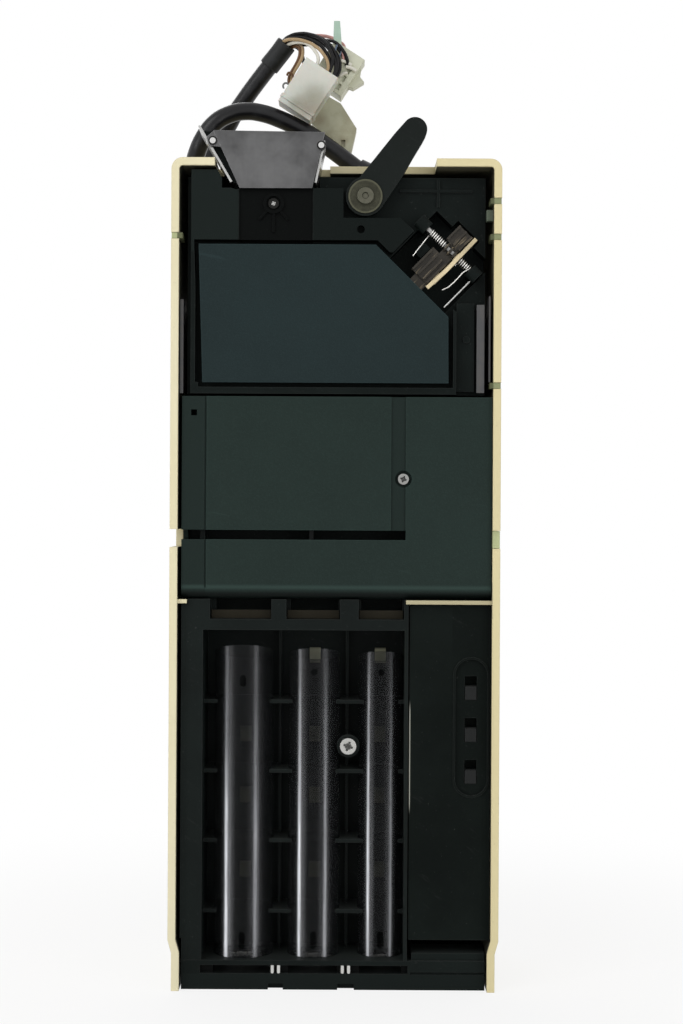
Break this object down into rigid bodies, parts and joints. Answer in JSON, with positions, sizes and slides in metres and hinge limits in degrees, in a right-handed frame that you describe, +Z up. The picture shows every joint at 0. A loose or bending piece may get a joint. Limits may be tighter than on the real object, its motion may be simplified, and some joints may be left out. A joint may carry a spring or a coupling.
{
  "type": "coin changer",
  "caption": "Narrow upright coin changer: coin inlet, hinged acceptor gate, return lever, cover, coin tubes, payout buttons and slot in a moulded housing, with a wired cable loop on top.",
  "frame": {"origin": "middle of the bottom of the housing, on the surface it stands on", "axes": "+X to the right seen from the front, +Y from the front to the back, +Z up"},
  "size_m": [0.1452, 0.08, 0.4406],
  "materials": {
    "housing_plastic": "satin moulded, cream",
    "black_plastic": "satin moulded, black",
    "slate_plastic": "fine textured, dark slate",
    "clip_plastic": "satin, greenish grey",
    "steel": "brushed",
    "bright_steel": "bright plated",
    "olive_metal": "satin, olive grey",
    "brass_bar": "satin, pale",
    "brown_plastic": "satin, brown",
    "smoky_plastic": "glossy, smoky clear",
    "cable_jacket": "satin, black",
    "milky_plastic": "satin, milky",
    "tan_plastic": "satin, tan",
    "beige_plastic": "satin, beige",
    "board": "green board",
    "winding": "lacquered copper wire"
  },
  "bodies": {
    "housing": {"rear_housing": "housing_plastic", "cable_gland": "cable_jacket", "retaining_clips": "clip_plastic", "side_rails": "steel", "wall_clip": "steel", "board_screws": "bright_steel", "acceptor_body": "black_plastic", "sensor_coils": "winding", "deck_screw": "bright_steel", "funnel_plate": "steel", "funnel_body": "black_plastic", "funnel_cheeks": "bright_steel", "funnel_rivets": "bright_steel", "hinge_pin": "steel", "gate_spring_upper": "bright_steel", "gate_spring_lower": "bright_steel", "lever_screw": "bright_steel", "lever_washer": "olive_metal", "lever_spring": "steel", "middle_cover": "slate_plastic", "cover_screw": "bright_steel", "sorter_deck": "black_plastic", "flap_pins": "steel", "accept_solenoid": "winding", "main_board": "board", "board_parts": "black_plastic", "cassette_frame": "black_plastic", "coin_tube_left": "smoky_plastic", "coin_tube_middle": "smoky_plastic", "coin_tube_right": "smoky_plastic", "chute_lips": "brown_plastic", "tube_sensors": "olive_metal", "cassette_screw": "bright_steel", "button_panel": "black_plastic", "button_board": "board", "payout_base": "black_plastic", "payout_pins": "bright_steel", "solenoid_left": "winding", "solenoid_middle": "winding", "solenoid_right": "winding", "harness_cable": "cable_jacket", "cable_sleeve": "cable_jacket", "harness_wires": "cable_jacket", "connector_white": "milky_plastic", "connector_tan": "tan_plastic", "connector_beige": "beige_plastic"},
    "lever": {"return_lever": "black_plastic"},
    "lift": {"lift_arm": "brass_bar"},
    "gate": {"acceptor_gate": "slate_plastic", "gate_arm": "brown_plastic"},
    "button_1": {"button_top": "black_plastic"},
    "button_2": {"button_middle": "black_plastic"},
    "button_3": {"button_low": "black_plastic"},
    "pusher_1": {"pusher_left": "steel"},
    "pusher_2": {"pusher_middle": "steel"},
    "pusher_3": {"pusher_right": "steel"},
    "accept_gate_flap": {"accept_flap": "black_plastic"},
    "sorter_gate_flap": {"sorter_flap": "black_plastic"}
  },
  "joints": [
    {"name": "lever_hinge", "type": "hinge", "parent": "housing", "child": "lever", "pos_m": [0.0126, -0.035, 0.3497], "axis": [0, 1, 0], "range_deg": [0, 16], "stiffness_Nm_per_rad": 0.02, "springref_deg": -17.19},
    {"name": "lift_hinge", "type": "hinge", "parent": "housing", "child": "lift", "pos_m": [0.0502, -0.035, 0.3261], "axis": [-0.7133, 0, 0.7009], "range_deg": [0, 8]},
    {"name": "gate_hinge", "type": "hinge", "parent": "lift", "child": "gate", "pos_m": [0.0502, -0.035, 0.3261], "axis": [-0.7133, 0, 0.7009], "range_deg": [0, 45], "stiffness_Nm_per_rad": 0.02, "springref_deg": -17.19},
    {"name": "button_slide_1", "type": "slide", "parent": "housing", "child": "button_1", "axis": [0, 1, 0], "range_m": [0, 0.0015], "stiffness_N_per_m": 300, "springref_m": -0.001},
    {"name": "button_slide_2", "type": "slide", "parent": "housing", "child": "button_2", "axis": [0, 1, 0], "range_m": [0, 0.0015], "stiffness_N_per_m": 300, "springref_m": -0.001},
    {"name": "button_slide_3", "type": "slide", "parent": "housing", "child": "button_3", "axis": [0, 1, 0], "range_m": [0, 0.0015], "stiffness_N_per_m": 300, "springref_m": -0.001},
    {"name": "pusher_slide_1", "type": "slide", "parent": "housing", "child": "pusher_1", "axis": [0, -1, 0], "range_m": [0, 0.0245], "stiffness_N_per_m": 40, "springref_m": -0.005},
    {"name": "pusher_slide_2", "type": "slide", "parent": "housing", "child": "pusher_2", "axis": [0, -1, 0], "range_m": [0, 0.0245], "stiffness_N_per_m": 40, "springref_m": -0.005},
    {"name": "pusher_slide_3", "type": "slide", "parent": "housing", "child": "pusher_3", "axis": [0, -1, 0], "range_m": [0, 0.0245], "stiffness_N_per_m": 40, "springref_m": -0.005},
    {"name": "accept_flap_hinge", "type": "hinge", "parent": "housing", "child": "accept_gate_flap", "pos_m": [-0.002, -0.0278, 0.2545], "axis": [0, 1, 0], "range_deg": [-20, 20]},
    {"name": "sorter_flap_hinge", "type": "hinge", "parent": "housing", "child": "sorter_gate_flap", "pos_m": [-0.0105, -0.0278, 0.212], "axis": [0, 1, 0], "range_deg": [-20, 20]}
  ],
  "couplings": [
    {"joint": "lift_hinge", "follows": "lever_hinge", "ratio": 0.5}
  ]
}
